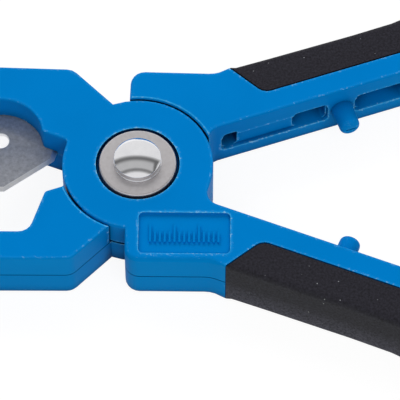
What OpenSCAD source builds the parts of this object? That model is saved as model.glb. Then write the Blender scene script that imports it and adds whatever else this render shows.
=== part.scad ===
// Hand-held hose cutter: two moulded levers lap-jointed on a rivet, a five-edged blade
// in the upper jaw, a V-shaped anvil in the lower jaw, and rubber-covered handles.
// It lies on its back. The origin is on the pivot's axis at the back face, +X runs
// to the handles, +Y to the blade's jaw and +Z to the front. Each lever is drawn in
// its own frame, with its handle along +X below the axis, and then turned to rest.

/* [Levers] */
// Thickness of both levers
body_t = 13.5; // [13:0.1:15]
// Radius of the lap disc that each lever has round the pivot
disc_r = 15.7; // [15.2:0.1:16.2]
// Gap between the two lap discs
lap_gap = 0.5; // [0.4:0.05:0.7]
// Gap between a disc and the arc that the other lever has round it
seam_gap = 0.4; // [0.3:0.05:0.6]
// Bevel on the front edge of that arc
seam_bevel = 0.35; // [0.2:0.05:0.5]
// Rounding of the edges of the handles and their blocks
edge_r = 1.0; // [0.8:0.1:1.5]
// Rounding of the edges of the jaws and the discs
fine_edge = 0.45; // [0.3:0.05:0.7]
// Half of the angle between the handles as the tool lies open
rest_half = 20.45; // [19:0.05:22]
// Half of the angle that is left between the handles when the stops meet
closed_half = 3.5; // [2.5:0.05:4]

/* [Blade] */
// Distance from the blade's centre to each of its five corners
blade_r = 13.0; // [12.6:0.1:13.2]
// How much of each corner is ground off
blade_blunt = 0.75; // [0.3:0.05:0.9]
// Thickness of the blade
blade_t = 1.0; // [0.8:0.1:1.4]
// Width of the ground bevel on each side of an edge
bevel_w = 0.8; // [0.5:0.1:1.2]
// Radius of the hole in the blade's middle
blade_hole_r = 1.8; // [1.5:0.1:2.5]
// Distance of the blade's centre from the pivot
blade_reach = 30.55; // [30:0.05:31.5]
// Direction of the blade's centre from the pivot, in the lever's frame
blade_bearing = 183.55; // [182.5:0.05:184.5]
// Direction of the blade's own axis, from its lowest corner up
blade_turn = 111.9; // [110:0.1:113]
// Play of the blade in its pocket
blade_play = 0.05; // [0.03:0.01:0.1]

/* [Jaws] */
// Slope of a jaw's outer edge in the lever's frame
jaw_slope = 19.5; // [18:0.1:21]
// Plastic between the shoulder screw's head and that edge
jaw_wall = 3.25; // [2.8:0.05:4]
// Plastic between the nose screw's head and the jaw's end
nose_wall = 2.25; // [2.2:0.05:3.5]
// Where the shoulder of the blade's jaw leaves the disc
shoulder_at = 131.4; // [130:0.1:133]
// Where the shoulder of the anvil's jaw leaves the disc
anvil_shoulder_at = 129.4; // [128.8:0.1:131]
// Direction of the shoulder of the blade's jaw
shoulder_turn = 156.2; // [154:0.1:158]
// Direction of the shoulder of the anvil's jaw
anvil_shoulder_turn = 153.8; // [152:0.1:156]
// Radius of the corner between shoulder and outer edge
shoulder_r = 3.0; // [2:0.1:4]
// Radius of the corner at the jaw's nose
nose_r = 3.2; // [2.2:0.1:3.6]
// Radius of the arch that shows the blade
arch_r = 9.2; // [8.6:0.1:9.6]
// How far the arch's centre lies below the blade's centre
arch_drop = 2.8; // [2.2:0.1:3.4]
// How far the nose stays back from the blade's edge
nose_lift = 2.6; // [2.4:0.05:2.9]
// Radius of the small corners at the arch, the land and the anvil's lip
land_r = 1.0; // [0.8:0.1:1.2]
// Distance of the bottom of the anvil's V from the pivot
anvil_reach = 27.6; // [27.2:0.1:28.3]
// Direction of the bottom of the V from the pivot, in the lever's frame
anvil_bearing = 163.15; // [162.8:0.05:163.6]
// Direction in which the V opens
anvil_turn = -106.2; // [-108:0.1:-104]
// Radius at the bottom of the V
anvil_r = 2.9; // [2:0.1:3.5]
// Clearance round the blade in the anvil's slot
slot_play = 1.1; // [0.9:0.05:1.4]
// Clearance on each face of the blade in that slot
slot_side = 0.4; // [0.3:0.05:0.6]

/* [Handles] */
// Distance from the pivot to the handle's tail
handle_l = 128; // [126:0.5:134]
// Distance of a handle's inner face from its axis
handle_gap = 3.0; // [2.8:0.1:3.4]
// Width of a handle next to the head
handle_w = 13.2; // [13:0.1:14]
// How much a handle narrows from the head to the swell
waist_h = 0.35; // [0:0.05:0.8]
// How much the palm swell adds
swell_h = 2.6; // [0:0.1:3.5]
// Where the swell begins
swell_from = 58; // [56:0.5:62]
// Where the swell ends
swell_to = 112; // [108:0.5:114]
// How far the tail flares out
flare_h = 4.2; // [2:0.1:5]
// Where the flare begins
flare_from = 100; // [96:0.5:104]
// Radius of the tail's outer corner
tail_r = 5.0; // [3:0.1:6]
// Angle of the block beside the disc
block_turn = 21; // [20:0.1:22]
// How far the block reaches back over the pivot
block_back = 2.3; // [1.9:0.1:2.6]
// Distance of the block's outer edge from the pivot
block_out = 23.2; // [23:0.05:23.8]
// Radius of the block's corner
block_r = 3.0; // [2.5:0.1:4.5]
// Radius of the hollow between block and handle
dip_r = 6; // [4:0.5:9]
// Radius between the disc and the inner face
throat_r = 2.8; // [2:0.1:3]

/* [Grips] */
// Width of the bare band between the inner face and the grip
band_w = 5.0; // [4.8:0.1:5.6]
// Where the grip begins on the outer edge
grip_from = 26.0; // [25.4:0.1:27]
// Where it ends on the outer edge
grip_to = 117; // [115:0.5:119]
// Slant of the grip's two ends
grip_slant = 60; // [52:1:65]
// Radius of the grip's two inner corners
grip_corner = 2.6; // [1.5:0.1:3.5]
// Rounding of the grip's outer edges
grip_edge = 1.3; // [1:0.1:2.5]
// Rubber over the handle's outer wall
grip_wall = 2.6; // [2.4:0.1:3]
// Rubber over the handle's front and back
grip_skin = 1.5; // [1.2:0.1:1.8]
// Joint between rubber and lever
bond = 0.02; // [0.01:0.01:0.04]
// Rounding on both sides of that joint
bond_edge = 0.3; // [0.2:0.05:0.4]

/* [Channel] */
// Width of the channel in the handle's inner face
channel_w = 6.1; // [5.8:0.1:6.6]
// Depth of its shallow stretches
channel_d = 0.9; // [0.7:0.1:1.6]
// Depth of its windows
window_d = 4.6; // [4:0.1:4.8]
// Width of the shallow stretches
floor_w = 4.9; // [4.4:0.1:5.2]
// Width of the windows
window_w = 5.8; // [5.3:0.1:5.8]
// Step at both ends of a window where it leaves the channel's floor
window_step = 0.35; // [0.2:0.05:0.5]
// Radius of the channel's corners
channel_r = 0.9; // [0.6:0.1:1.8]
// Where the stop peg stands
peg_at = 46.5; // [46.1:0.1:46.9]
// Solid length of handle round the peg
peg_seat = 6.0; // [5.6:0.1:6.4]
// Radius of the peg at its foot
peg_r = 2.4; // [2.2:0.1:2.5]
// Radius of the peg at its end
peg_tip_r = 2.2; // [1.8:0.05:2.2]
// Rounding of the peg's end
peg_round = 1.1; // [0.8:0.1:1.4]
// Gap between the two pegs at the closed stop
peg_gap = 0.1; // [0.08:0.02:0.3]

/* [Latch] */
// Distance of the latch's pin from the pivot
latch_at = 70; // [69:0.5:72]
// Distance of the pins from the handle's inner face
pin_in = 2.8; // [2.6:0.1:3]
// Radius of the latch pin and the catch pin
pin_r = 1.25; // [1.1:0.05:1.3]
// Half of the latch arm's width
latch_half = 2.3; // [2.1:0.1:2.3]
// Thickness of the latch
latch_t = 5.5; // [5:0.1:5.5]
// Play of the latch hook round the catch pin
hook_play = 0.25; // [0.2:0.05:0.3]
// Depth of the hook's notch past the arm's middle
hook_depth = 0.7; // [0.5:0.1:0.9]
// Metal beyond the hook's notch
hook_lip = 2.2; // [1.8:0.1:2.4]
// Height of the thumb tab on the latch
tab_h = 1.5; // [1:0.1:2]

/* [Pivot] */
// Radius of the rivet's shank
rivet_r = 3.0; // [2.8:0.1:3.2]
// Radius of the rivet's domed head
head_r = 5.0; // [4.6:0.05:5.2]
// Height of the domed head
head_h = 3.6; // [3.2:0.1:4.2]
// Height of the closed end at the back
tail_h = 1.1; // [0.9:0.05:1.2]
// Outer radius of the pivot bush
bush_r = 4.0; // [3.9:0.1:4.3]
// Running clearance in the pivot
run_play = 0.05; // [0.02:0.01:0.09]
// Outer radius of the two washers
washer_r = 8.05; // [7.6:0.05:8.1]
// Thickness of the front washer
washer_t = 1.6; // [1.2:0.1:1.8]
// Thickness of the back washer
back_washer_t = 1.2; // [1:0.1:1.3]
// How far the front washer stands proud of the disc
washer_proud = 0.3; // [0.1:0.05:0.5]
// Gap round a washer in its recess
washer_gap = 0.65; // [0.5:0.05:0.8]
// Bevel on a washer's rim
washer_bevel = 0.3; // [0.2:0.05:0.4]
// How far the rivet's closed end stays inside the back face
back_sink = 0.25; // [0.2:0.05:0.4]
// Radius of the wire of the return spring
wire_r = 0.65; // [0.5:0.05:0.7]
// Radius of the spring's coils
coil_r = 6.2; // [6:0.1:6.6]
// Turns of the spring
coil_turns = 1.75; // [1.5:0.25:2]
// Gap round the spring in its pocket
spring_play = 0.35; // [0.3:0.05:0.45]
// Length of each spring leg
leg_l = 5.0; // [4:0.1:5.4]
// Width of the friction ring between the discs
ring_w = 4.0; // [3:0.1:4.4]

/* [Details] */
// Radius of a cover screw's shank
screw_r = 1.5; // [1.2:0.1:1.6]
// Radius of its head
screw_head_r = 2.75; // [2.4:0.05:2.9]
// Height of its head
screw_head_h = 1.9; // [1.6:0.1:2.1]
// Length of its shank
screw_l = 8; // [7:0.5:9]
// Plastic between the blade and a screw's head
screw_wall = 1.6; // [1.2:0.1:2]
// Direction of the nose screw from the blade's centre, in the lever's frame
nose_screw_at = 172.4; // [168:0.2:176]
// Direction of the shoulder screw from the blade's centre
shoulder_screw_at = 49.2; // [48:0.2:52]
// Length of the gauge panel on the block
panel_l = 18.8; // [17.5:0.1:20]
// Height of the gauge panel
panel_h = 9.7; // [9:0.1:10.5]
// Depth of the gauge panel
panel_d = 0.8; // [0.5:0.05:1]
// Distance of the panel from the block's outer edge
panel_in = 1.7; // [1.5:0.1:1.9]
// Distance of the panel from the block's back
panel_back = 2.8; // [2.5:0.1:3.2]
// Spacing of the gauge marks
mark_step = 1.0; // [0.9:0.05:1.1]

/* [Hidden] */
$fn = 64;
// Steps in a quarter round edge, degrees per side on an outline's arcs, and overrun of a cut
edge_steps = 3;
arc_step = 8;
corner_step = 22;
over = 1.0;
// How far the tongue inside the grip reaches into the bare band
tuck = 0.5;
blue = [0, 0.46, 0.78];
black = [0.17, 0.17, 0.19];
steel = [0.62, 0.62, 0.63];
mid_z = body_t / 2;
seam_r = disc_r + seam_gap;
outer_y = handle_gap + handle_w;
band_y = handle_gap + band_w;
// Recess floors of the two washers, and the two faces of the lap joint
front_floor = body_t + washer_proud - washer_t;
back_floor = back_sink + tail_h + back_washer_t + run_play;
lap_low = mid_z - lap_gap / 2;
lap_high = mid_z + lap_gap / 2;
recess_r = washer_r + washer_gap;
pocket_r = coil_r + wire_r + spring_play;
coil_pitch = 2 * wire_r + spring_play / 2;
coil_h = coil_pitch * coil_turns + 2 * wire_r;
pocket_low = mid_z - coil_h / 2 - spring_play;
pocket_high = mid_z + coil_h / 2 + spring_play;
swell_points = 10;
flare_points = 5;
wire_sides = 8;
// Bearing of the spring's lower leg in the blade lever's frame
low_leg_at = 250;
mark_count = 15;
tall_every = 5;
full_turn = 360;
half_turn = 180;
// Shares of a named size: where the tail's corner starts and how round the nose is below, of
// their radii; how far the throat's corner stands off; the latch's room before and behind its
// arm; the rivet's skirt and closed end; a gauge mark's height, low mark, width and rise;
// the places of the latch's thumb tab; the depth of a screw's socket; corners a little less
// than half a width; and the room of a rounded end on an arc
tail_share = 1.6;
nose_share = 0.6;
throat_shares = [0.17, 1.2];
bay_shares = [2.4, 1.4];
rivet_shares = [0.42, 1.4, 1.5];
mark_shares = [0.42, 0.6, 0.42, 0.7];
tab_shares = [0.52, 0.56, 0.68, 0.72];
socket_share = 0.6;
round_share = 0.9;
trim_share = 1.33;

// Plane geometry
function dir(a) = [cos(a), sin(a)];
function turned(p, a) = [p.x * cos(a) - p.y * sin(a), p.x * sin(a) + p.y * cos(a)];
function flipped(p) = [p.x, -p.y];
// Where the line through p at angle a meets the line through q at angle b
function meet(p, a, q, b) = let (d = q - p)
  p + dir(a) * (d.x * sin(b) - d.y * cos(b)) / sin(b - a);
// Where the line through p at angle a leaves a circle, on the side that the angle points to
function leave(c, r, p, a) = let (u = dir(a), d = p - c, along = d * u)
  p + u * (sqrt(r * r - d * d + along * along) - along);
function bearing(c, p) = atan2(p.y - c.y, p.x - c.x);
// An outline's point: place, radius of the corner there, rounding of the edge there
function spot(p, r, e) = [p.x, p.y, r, e];
function arc(c, r, from, to, e) = let (n = ceil(abs(to - from) / arc_step))
  [for (i = [1:n - 1]) spot(c + r * dir(from + (to - from) * i / n), 0, e)];
function corner(a, b, c, r, e) =
  let (u = (a - b) / norm(a - b), v = (c - b) / norm(c - b), half = acos(u * v) / 2,
    o = b + (u + v) / norm(u + v) * r / sin(half),
    from = bearing(o, b + u * r / tan(half)), to = bearing(o, b + v * r / tan(half)),
    sweep = (to - from + full_turn + half_turn) % full_turn - half_turn,
    n = max(2, ceil(abs(sweep) / corner_step)))
  [for (i = [0:n]) let (p = o + r * dir(from + sweep * i / n)) [p.x, p.y, e]];
function flat(p) = [p.x, p.y];
function rounded(path) = let (n = len(path)) [for (i = [0:n - 1]) let (p = path[i])
  each p[2] == 0 ? [[p.x, p.y, p[3]]]
    : corner(flat(path[(i + n - 1) % n]), flat(p), flat(path[(i + 1) % n]), p[2], p[3])];
function flat_all(path) = [for (p = path) flat(p)];

// Triangles that fill a plain outline, by cutting off one ear after another
function side(a, b, c) = (b.x - a.x) * (c.y - a.y) - (b.y - a.y) * (c.x - a.x);
function covers(a, b, c, p) = side(a, b, p) >= 0 && side(b, c, p) >= 0 && side(c, a, p) >= 0;
function is_ear(pts, ids, i) = let (n = len(ids), h = (i + n - 1) % n, j = (i + 1) % n,
    a = pts[ids[h]], b = pts[ids[i]], c = pts[ids[j]])
  side(a, b, c) > 0
    && [for (k = [0:n - 1]) if (k != h && k != i && k != j && covers(a, b, c, pts[ids[k]])) k] == [];
function first_ear(pts, ids, i = 0) = is_ear(pts, ids, i) ? i : first_ear(pts, ids, i + 1);
function ears(pts, ids, done = []) = len(ids) == 3 ? concat(done, [ids])
  : let (n = len(ids), i = first_ear(pts, ids))
    ears(pts, [for (k = [0:n - 1]) if (k != i) ids[k]],
      concat(done, [[ids[(i + n - 1) % n], ids[i], ids[(i + 1) % n]]]));

// The way in from an outline's point, as long as the mitre needs for an inset of one
function way_in(path, i) = let (n = len(path), a = path[(i + n - 1) % n], b = path[i],
    c = path[(i + 1) % n], u = flat(b - a) / norm(flat(b - a)), v = flat(c - b) / norm(flat(c - b)),
    nu = [-u.y, u.x], nv = [-v.y, v.x]) (nu + nv) / (1 + nu * nv);

// A plate from low to high with its edges rounded below, above or both
module plate(path, low, high, round_low = true, round_high = true) {
  n = len(path);
  ways = [for (i = [0:n - 1]) way_in(path, i)];
  turns = concat(round_low ? [for (k = [0:edge_steps]) [k, -1]] : [[edge_steps, -1]],
    round_high ? [for (k = [edge_steps:-1:0]) [k, 1]] : [[edge_steps, 1]]);
  points = [for (t = turns) for (i = [0:n - 1])
    let (a = half_turn / 2 * t[0] / edge_steps, e = path[i][2], in = ways[i] * e * (1 - sin(a)),
      up = t[1] < 0 ? low + (round_low ? e * (1 - cos(a)) : 0)
        : high - (round_high ? e * (1 - cos(a)) : 0))
    [path[i].x + in.x, path[i].y + in.y, up]];
  top = n * (len(turns) - 1);
  ring = [for (i = [0:n - 1]) i];
  low_cap = ears([for (i = ring) points[i]], ring);
  high_cap = ears([for (i = ring) points[top + i]], ring);
  sides = [for (j = [0:len(turns) - 2]) for (i = ring)
    let (a = j * n + i, b = j * n + (i + 1) % n) each [[a, a + n, b + n], [a, b + n, b]]];
  polyhedron(points, concat([for (f = low_cap) f], sides,
    [for (f = high_cap) [top + f[2], top + f[1], top + f[0]]]));
}

// Handle
function swell(x) = x <= swell_from || x >= swell_to ? 0
  : swell_h * pow(sin(half_turn * (x - swell_from) / (swell_to - swell_from)), 2);
function flare(x) = x <= flare_from ? 0
  : flare_h * pow((x - flare_from) / (handle_l - flare_from), 2);
function waist(x) = waist_h * min(max(x - grip_from, 0) / (swell_from - grip_from), 1);
function outer_at(x) = outer_y - waist(x) + swell(x) + flare(x);
function inner_at(x) = handle_gap + flare(x);
function outer_line(from, to, n, r_e, inset = 0) = [for (i = [1:n - 1])
  let (x = from + (to - from) * i / n) [x, inset - outer_at(x), 0, r_e]];
// The grip's two slanted ends, moved in by d
function grip_start(d) = [grip_from, -outer_y] + d * dir(grip_slant - 90);
function grip_end(d) = [grip_to, -outer_at(grip_to)] - d * dir(half_turn / 2 - grip_slant);
// Corners of the grip's outline: ends moved in by d, band edge at y, outer wall thinner by w
function grip_corners(d, y, w) = [
  meet(grip_start(d), grip_slant, [0, w - outer_y], 0),
  meet(grip_end(d), -grip_slant, [grip_to, w - outer_at(grip_to)], 0),
  meet(grip_end(d), -grip_slant, [0, -y], 0),
  meet(grip_start(d), grip_slant, [0, -y], 0)];

// Outline of a lever from its disc round the handle and back to the jaw's shoulder
function block_point(x, y) = turned([x, y], block_turn);
block_foot = block_point(-block_back, -sqrt(disc_r * disc_r - block_back * block_back));
block_corner = block_point(-block_back, -block_out);
dip = meet(block_corner, block_turn, [0, -outer_y], 0);
grip_ends = grip_corners(0, band_y, 0);
throat = [disc_r + throat_r * throat_shares[0], -handle_gap];
back_half = concat(
  arc([0, 0], disc_r, half_turn, bearing([0, 0], block_foot) + full_turn, fine_edge),
  [spot(block_foot, 0, fine_edge), spot(block_corner, block_r, edge_r), spot(dip, dip_r, edge_r),
    spot(grip_ends[0], 0, bond_edge), spot(grip_ends[3], grip_corner, bond_edge),
    spot(grip_ends[2], grip_corner, bond_edge), spot(grip_ends[1], 0, bond_edge)],
  outer_line(grip_to, handle_l - tail_share * tail_r, flare_points, edge_r),
  [spot([handle_l, -outer_at(handle_l)], tail_r, edge_r),
    spot([handle_l, -inner_at(handle_l)], tail_r, edge_r)],
  [for (i = [flare_points - 1:-1:0]) let (x = flare_from + (handle_l - tail_r - flare_from)
    * i / flare_points) [x, -inner_at(x), 0, fine_edge]],
  [spot(throat, throat_r, fine_edge)],
  arc([0, 0], disc_r, 0, anvil_shoulder_at, fine_edge));

// Jaws
blade_mid = blade_reach * dir(blade_bearing);
shoulder = disc_r * dir(shoulder_at);
// The cover screws stand round the blade, and the jaw's edge and end stand off from the screws
screw_reach = blade_r + screw_wall + screw_head_r;
screw_places = [for (a = [shoulder_screw_at, nose_screw_at]) blade_mid + screw_reach * dir(a)];
jaw_out = turned(screw_places[0], -jaw_slope).y + screw_head_r + jaw_wall;
jaw_l = screw_head_r + nose_wall - turned(screw_places[1], -jaw_slope).x;
jaw_line = jaw_out * dir(jaw_slope + 90);
jaw_end = -jaw_l * dir(jaw_slope);
nose = meet(jaw_line, jaw_slope, jaw_end, jaw_slope + 90);
function shoulder_path(foot, turn) = [spot(foot, 0, fine_edge),
  spot(meet(foot, turn, jaw_line, jaw_slope), shoulder_r, fine_edge),
  spot(nose, nose_r, fine_edge)];
// Half of the angle at a corner of the blade
blade_half = 54;
blade_tip = blade_mid - blade_r * dir(blade_turn);
// The nose's underside runs beside the blade's edge, and the arch opens over the blade
under_turn = blade_turn + blade_half;
under = blade_tip + nose_lift * dir(under_turn - 90);
under_end = meet(under, under_turn, jaw_end, jaw_slope + 90);
arch_mid = blade_mid - arch_drop * dir(blade_turn);
arch_left = leave(arch_mid, arch_r, under, under_turn);
arch_right = leave(arch_mid, arch_r, [arch_mid.x, 0], 0);
// Angle of the arch that its rounded ends take up, and the arch's sweep between them
arch_trim = asin(land_r / arch_r) * trim_share;
arch_from = bearing(arch_mid, arch_left) - arch_trim;
arch_to = arch_from - (arch_from - bearing(arch_mid, arch_right) + full_turn) % full_turn
  + arch_trim;
arch_path = concat([spot(arch_left, land_r, fine_edge)],
  arc(arch_mid, arch_r, arch_from, arch_to, fine_edge), [spot(arch_right, land_r, fine_edge)]);
blade_jaw = concat(shoulder_path(shoulder, shoulder_turn),
  [spot(under_end, nose_r * nose_share, fine_edge)], arch_path);
// The anvil's V, whose walls stand as far from its axis as the blade's edges from theirs
anvil_v = anvil_reach * dir(anvil_bearing);
floor_end = meet(anvil_v, anvil_turn - blade_half, jaw_end, jaw_slope + 90);
anvil_lip = meet(anvil_v, anvil_turn + blade_half, [0, 0], 0);
anvil_jaw = concat(shoulder_path(disc_r * dir(anvil_shoulder_at), anvil_shoulder_turn),
  [spot(floor_end, nose_r * nose_share, fine_edge), spot(anvil_v, anvil_r, fine_edge),
    spot(anvil_lip, land_r, fine_edge)]);
land_foot = [spot([-disc_r, 0], land_r, fine_edge)];
blade_lever_path = rounded(concat(blade_jaw, land_foot, back_half,
  arc([0, 0], disc_r, anvil_shoulder_at, shoulder_at, fine_edge)));
anvil_lever_path = rounded(concat(anvil_jaw, land_foot, back_half));
// The cover is the back half of the blade's jaw, up to the arc round the anvil lever's disc
cover_foot = leave([0, 0], seam_r, shoulder, shoulder_turn);
cover_path = rounded(concat([for (i = [1:len(blade_jaw) - 1]) blade_jaw[i]],
  [spot([-seam_r, 0], 0, fine_edge)],
  arc([0, 0], seam_r, half_turn, bearing([0, 0], cover_foot), fine_edge),
  [spot(cover_foot, 0, fine_edge)]));

// Puts a lever's frame where the lever rests
module at_blade_lever() rotate(-rest_half) children();
module at_anvil_lever() rotate(rest_half) mirror([0, 1, 0]) children();

// Five-cornered plate of the blade's form, grown all round and on both faces
module five_edged(grow, half_t) translate([blade_mid.x, blade_mid.y, mid_z])
  rotate(blade_turn + half_turn) cylinder(r = blade_r + grow / sin(blade_half), h = 2 * half_t,
    center = true, $fn = 5);

// Tongue inside the grip, or with spare the room that the grip leaves for it
module grip_core(spare) {
  ends = grip_corners(grip_wall - spare, band_y - tuck, grip_wall - spare);
  path = concat([ends[0]], flat_all(outer_line(ends[0].x, ends[1].x, swell_points, 0,
    grip_wall - spare)), [ends[1], ends[2], ends[3]]);
  translate([0, 0, grip_skin - spare])
    linear_extrude(body_t - 2 * grip_skin + 2 * spare) polygon(path);
}

// Room that is cut into a handle's inner face, from one place along it to another. A
// window in a channel's floor is inset by a small step at its ends.
module pocket(from, to, deep, wide = channel_w, step = 0) {
  half = channel_w / 2;
  top = wide - half;
  translate([0, over - handle_gap, mid_z]) rotate([90, 0, 0]) linear_extrude(deep + over)
    polygon(flat_all(rounded([[from + step, -half, channel_r, 0], [to - step, -half, channel_r, 0],
      [to - step, top, channel_r, 0], [from + step, top, channel_r, 0]])));
}

// Where the hook meets the catch pin when the tool is closed, from the latch's own pin
pin_y = handle_gap + pin_in;
latch_span = flipped(turned([latch_at, -pin_y], -2 * closed_half)) - [latch_at, -pin_y];
latch_reach = sqrt(latch_span * latch_span - hook_depth * hook_depth);
// The channel's stretches, as shares of the way from the head to the peg and on to the tail
window_shares = [0.17, 0.66];
bay_from = latch_at - bay_shares[0] * latch_half;
bay_to = latch_at + latch_reach + hook_lip + bay_shares[1] * latch_half;
bay_d = pin_in + pin_r + hook_play + hook_lip + latch_half / 2;
module channel() {
  head = throat.x + throat_r * throat_shares[1];
  peg_low = peg_at - peg_seat / 2;
  peg_high = peg_at + peg_seat / 2;
  rib = peg_seat / 2;
  pocket(head, peg_low, channel_d, floor_w);
  pocket(head, head + (peg_low - head) * window_shares[0], window_d, window_w, window_step);
  pocket(head + (peg_low - head) * window_shares[1], peg_low, window_d, window_w, window_step);
  pocket(peg_high, bay_from - rib, channel_d, floor_w);
  pocket(peg_high, bay_from - rib, window_d, window_w, window_step);
  pocket(bay_from, bay_to, bay_d);
  pocket(bay_to + rib, handle_l - 2 * tail_r, channel_d, floor_w);
}

// Stop peg on the inner face, long enough to meet its twin when the tool is closed
peg_l = handle_gap + tan(closed_half) * peg_at - peg_gap / 2;
module stop_peg() translate([peg_at, -handle_gap - over, mid_z]) rotate([-90, 0, 0])
  rotate_extrude() polygon(concat([[0, 0], [peg_r, 0]],
    [for (a = [0:15:90]) [peg_tip_r - peg_round + peg_round * cos(a),
      peg_l + over - peg_round + peg_round * sin(a)]], [[0, peg_l + over]]));

// Cylinder along the pivot's axis
module bore(r, low, high) translate([0, 0, low]) cylinder(r = r, h = high - low);

// Room for the other lever's disc, from the lap face out through the near face
module disc_room() rotate_extrude() polygon([[0, lap_low], [seam_r, lap_low],
  [seam_r, body_t - seam_bevel], [seam_r + seam_bevel + over, body_t + over], [0, body_t + over]]);

// Recess, spring pocket and bore on the near side of a disc that ends at the lap face
module pivot_room(floor_z, pocket_z, leg_turn) {
  bore(recess_r, floor_z, body_t + over);
  bore(bush_r + run_play, 0, body_t);
  bore(pocket_r, 0, pocket_z);
  rotate(leg_turn) translate([0, coil_r - pocket_r, 0])
    cube([coil_r + leg_l + spring_play, 2 * (pocket_r - coil_r), pocket_z - run_play]);
}

// Pin holes through the handle
module pin_hole(r) translate([latch_at, -handle_gap - pin_in, -over])
  cylinder(r = r, h = body_t + 2 * over);

// Everything that the two levers share
module lever_blank(path) {
  difference() {
    union() {
      plate(path, 0, body_t);
      grip_core(0);
    }
    channel();
    pin_hole(pin_r + run_play / 2);
  }
  stop_peg();
}

// Gauge panel: a sunk field with raised marks, one for each step of the scale
module panel() {
  tall = panel_h * mark_shares[0];
  mark_w = mark_step * mark_shares[2];
  rise = panel_d * mark_shares[3];
  run = mark_step * (mark_count - 1);
  rotate(block_turn) translate([panel_back - block_back, panel_in - block_out, 0])
    difference() {
      translate([0, 0, body_t - panel_d]) linear_extrude(panel_d + over)
        polygon(flat_all(rounded([[0, 0, edge_r, 0], [panel_l, 0, edge_r, 0],
          [panel_l, panel_h, edge_r, 0], [0, panel_h, edge_r, 0]])));
      for (i = [0:mark_count - 1])
        translate([(panel_l - run - mark_w) / 2 + i * mark_step, (panel_h - tall) / 2,
          body_t - panel_d - over])
          cube([mark_w, i % tall_every == 0 ? tall : tall * mark_shares[1], over + rise]);
    }
}

module at_screws() for (p = screw_places) translate([p.x, p.y, 0]) children();
screw_sink = back_sink + screw_head_h;

module blade_lever() color(blue) at_blade_lever() difference() {
  lever_blank(blade_lever_path);
  // Back half of the jaw, which is the cover's place
  translate([-2 * jaw_l, -jaw_l, -over]) cube([2 * (jaw_l - block_back), 2 * jaw_l, mid_z + over]);
  mirror([0, 0, 1]) translate([0, 0, -body_t]) disc_room();
  pivot_room(front_floor, pocket_high, low_leg_at + full_turn * coil_turns);
  five_edged(blade_play, blade_t / 2 + blade_play);
  at_screws() bore(screw_r + run_play / 2, 0, screw_sink + screw_l + spring_play);
  panel();
}

module anvil_lever() color(blue) at_anvil_lever() difference() {
  lever_blank(anvil_lever_path);
  disc_room();
  translate([0, 0, body_t]) mirror([0, 0, 1])
    pivot_room(body_t - back_floor, body_t - pocket_low, 2 * rest_half - low_leg_at);
  // The slot that the closed blade runs into
  mirror([0, 1, 0]) rotate(-2 * closed_half)
    five_edged(slot_play, blade_t / 2 + slot_side);
}

module blade_cover() color(blue) at_blade_lever() difference() {
  plate(cover_path, 0, mid_z, true, false);
  five_edged(blade_play, blade_t / 2 + blade_play);
  at_screws() bore(screw_r + run_play, -over, mid_z + over);
  at_screws() bore(screw_head_r + spring_play, -over, screw_sink);
}

// Cheese-head screws with a six-sided socket
module cover_screws() color(steel) at_blade_lever() at_screws() difference() {
  union() {
    bore(screw_head_r, back_sink, screw_sink);
    bore(screw_r, back_sink, screw_sink + screw_l);
  }
  translate([0, 0, back_sink - over])
    cylinder(r = screw_r, h = over + screw_head_h * socket_share, $fn = 6);
}

// The blade's corners and faces, each face inset by the ground bevel
module blade() color(steel) at_blade_lever() difference() {
  intersection() {
    translate([blade_mid.x, blade_mid.y, mid_z]) rotate(blade_turn + half_turn) for (way = [0, 1])
      mirror([0, 0, way]) cylinder(r1 = blade_r, r2 = blade_r - bevel_w / sin(blade_half),
        h = blade_t / 2, $fn = 5);
    translate([blade_mid.x, blade_mid.y, 0]) cylinder(r = blade_r - blade_blunt, h = body_t);
  }
  translate([blade_mid.x, blade_mid.y, 0]) cylinder(r = blade_hole_r, h = body_t);
}

// Rubber grip, wrapped round the handle's tongue
module grip() difference() {
  ends = grip_corners(bond, band_y + bond, 0);
  plate(rounded(concat([spot(ends[0], 0, bond_edge)],
    [spot([ends[0].x + grip_edge, -outer_y], 0, grip_edge * round_share)],
    outer_line(ends[0].x, ends[1].x, swell_points, grip_edge),
    [spot([ends[1].x - grip_edge, -outer_at(ends[1].x - grip_edge)], 0, grip_edge * round_share),
      spot(ends[1], 0, bond_edge), spot(ends[2], grip_corner, bond_edge),
      spot(ends[3], grip_corner, bond_edge)])), 0, body_t);
  grip_core(bond);
}
module lower_grip() color(black) at_blade_lever() grip();
module upper_grip() color(black) at_anvil_lever() grip();

// Rivet: domed head on the front washer, closed end sunk in the back
module pivot_rivet() color("silver") rotate_extrude() {
  head_z = body_t + washer_proud;
  skirt = head_h * rivet_shares[0];
  polygon(concat([[0, back_sink], [rivet_r * rivet_shares[1], back_sink],
    [rivet_r * rivet_shares[2], back_sink + tail_h / 2],
    [rivet_r * rivet_shares[2], back_sink + tail_h], [rivet_r, back_sink + tail_h], [rivet_r, head_z],
    [head_r, head_z]], [for (a = [0:9:90]) [head_r * cos(a), head_z + skirt
      + (head_h - skirt) * sin(a)]]));
}

module ring(r_in, r_out, low, high, cut) rotate_extrude() polygon([[r_in, low],
  [r_out - cut, low], [r_out, low + cut], [r_out, high - cut], [r_out - cut, high], [r_in, high]]);
module pivot_bush() color("gray")
  ring(rivet_r + run_play, bush_r, back_floor - run_play, front_floor, run_play);
module front_washer() color([0.7, 0.69, 0.66])
  ring(rivet_r + run_play, washer_r, front_floor, front_floor + washer_t, washer_bevel);
module back_washer() color([0.7, 0.69, 0.66]) ring(rivet_r + run_play, washer_r,
  back_sink + tail_h, back_sink + tail_h + back_washer_t, washer_bevel);
module friction_ring() color("white") ring(disc_r - edge_r - ring_w, disc_r - edge_r,
  lap_low + run_play, lap_high - run_play, run_play);

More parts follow.
